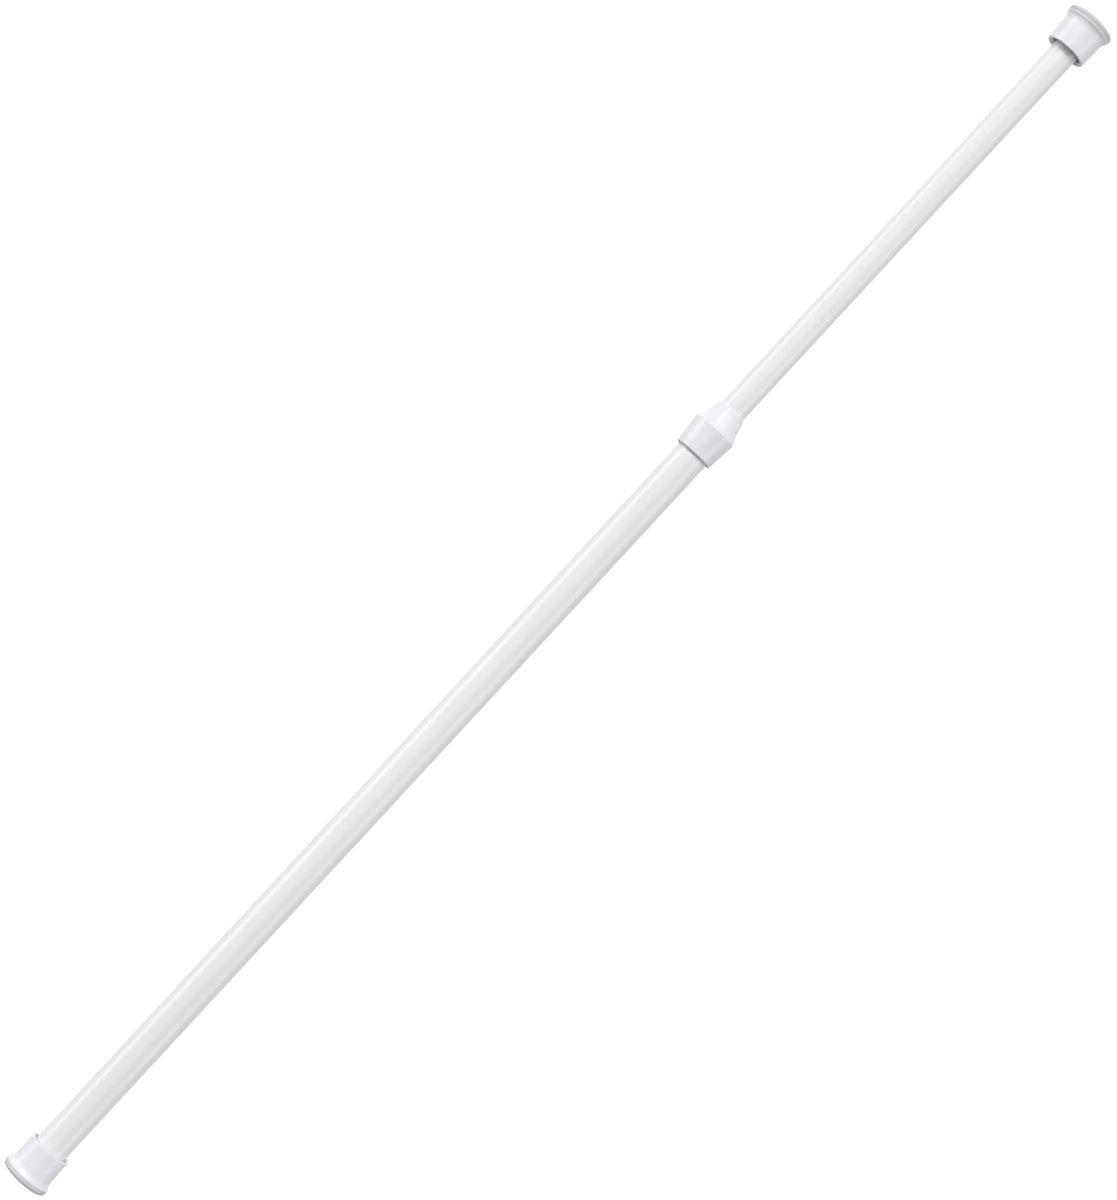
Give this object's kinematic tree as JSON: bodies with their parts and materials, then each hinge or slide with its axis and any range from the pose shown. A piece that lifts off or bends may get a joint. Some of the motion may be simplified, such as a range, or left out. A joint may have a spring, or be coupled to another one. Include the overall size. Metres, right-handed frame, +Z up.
{
  "type": "spring tension rod",
  "caption": "Telescoping white tension rod with flared end caps, a cone collar, a twist lock and a spring inside, held between two facing walls.",
  "frame": {"origin": "centre of the wall face of the larger tube's foot pad", "axes": "+X along the rod's axis, from the larger tube's foot to the thinner tube's foot; +Z up with the rod level between two walls"},
  "size_m": [0.698, 0.0238, 0.0236],
  "materials": {
    "white_paint": "glossy white stove paint on thin steel tube",
    "white_plastic": "smooth white moulded plastic, soft gloss",
    "pad_rubber": "pale grey non-slip rubber, matt",
    "natural_nylon": "natural nylon moulding",
    "spring_wire": "bright spring wire",
    "zinc_steel": "zinc-plated steel"
  },
  "bodies": {
    "outer_rod": {"outer_tube": "white_paint", "outer_end_cap": "white_plastic", "outer_foot_pad": "pad_rubber", "collar": "white_plastic", "mouth_liner": "natural_nylon"},
    "lock_sleeve": {"lock_sleeve": "natural_nylon"},
    "tapered_nut": {"tapered_nut": "natural_nylon"},
    "spindle": {"spindle": "natural_nylon", "thrust_washer": "zinc_steel", "stop_washer": "zinc_steel", "stop_screw": "zinc_steel", "compression_spring": "spring_wire"},
    "inner_rod": {"inner_tube": "white_paint", "inner_end_cap": "white_plastic", "inner_foot_pad": "pad_rubber", "guide_plug": "natural_nylon", "spring_stop": "natural_nylon"}
  },
  "joints": [
    {"name": "set_length", "type": "slide", "parent": "outer_rod", "child": "lock_sleeve", "axis": [1, 0, 0], "range_m": [-0.195, 0.0507]},
    {"name": "twist_lock", "type": "hinge", "parent": "lock_sleeve", "child": "spindle", "pos_m": [0.3525, 0, 0], "axis": [1, 0, 0], "range_deg": [-360, 0]},
    {"name": "nut_travel", "type": "slide", "parent": "lock_sleeve", "child": "tapered_nut", "axis": [1, 0, 0], "range_m": [-0.00301, 0]},
    {"name": "spring_stroke", "type": "slide", "parent": "spindle", "child": "inner_rod", "axis": [1, 0, 0], "range_m": [-0.025, 0], "stiffness_N_per_m": 2000, "springref_m": 0.005, "deforming": ["compression_spring"]}
  ],
  "couplings": [
    {"joint": "nut_travel", "follows": "twist_lock", "m_per_rad": 0.00047746}
  ]
}
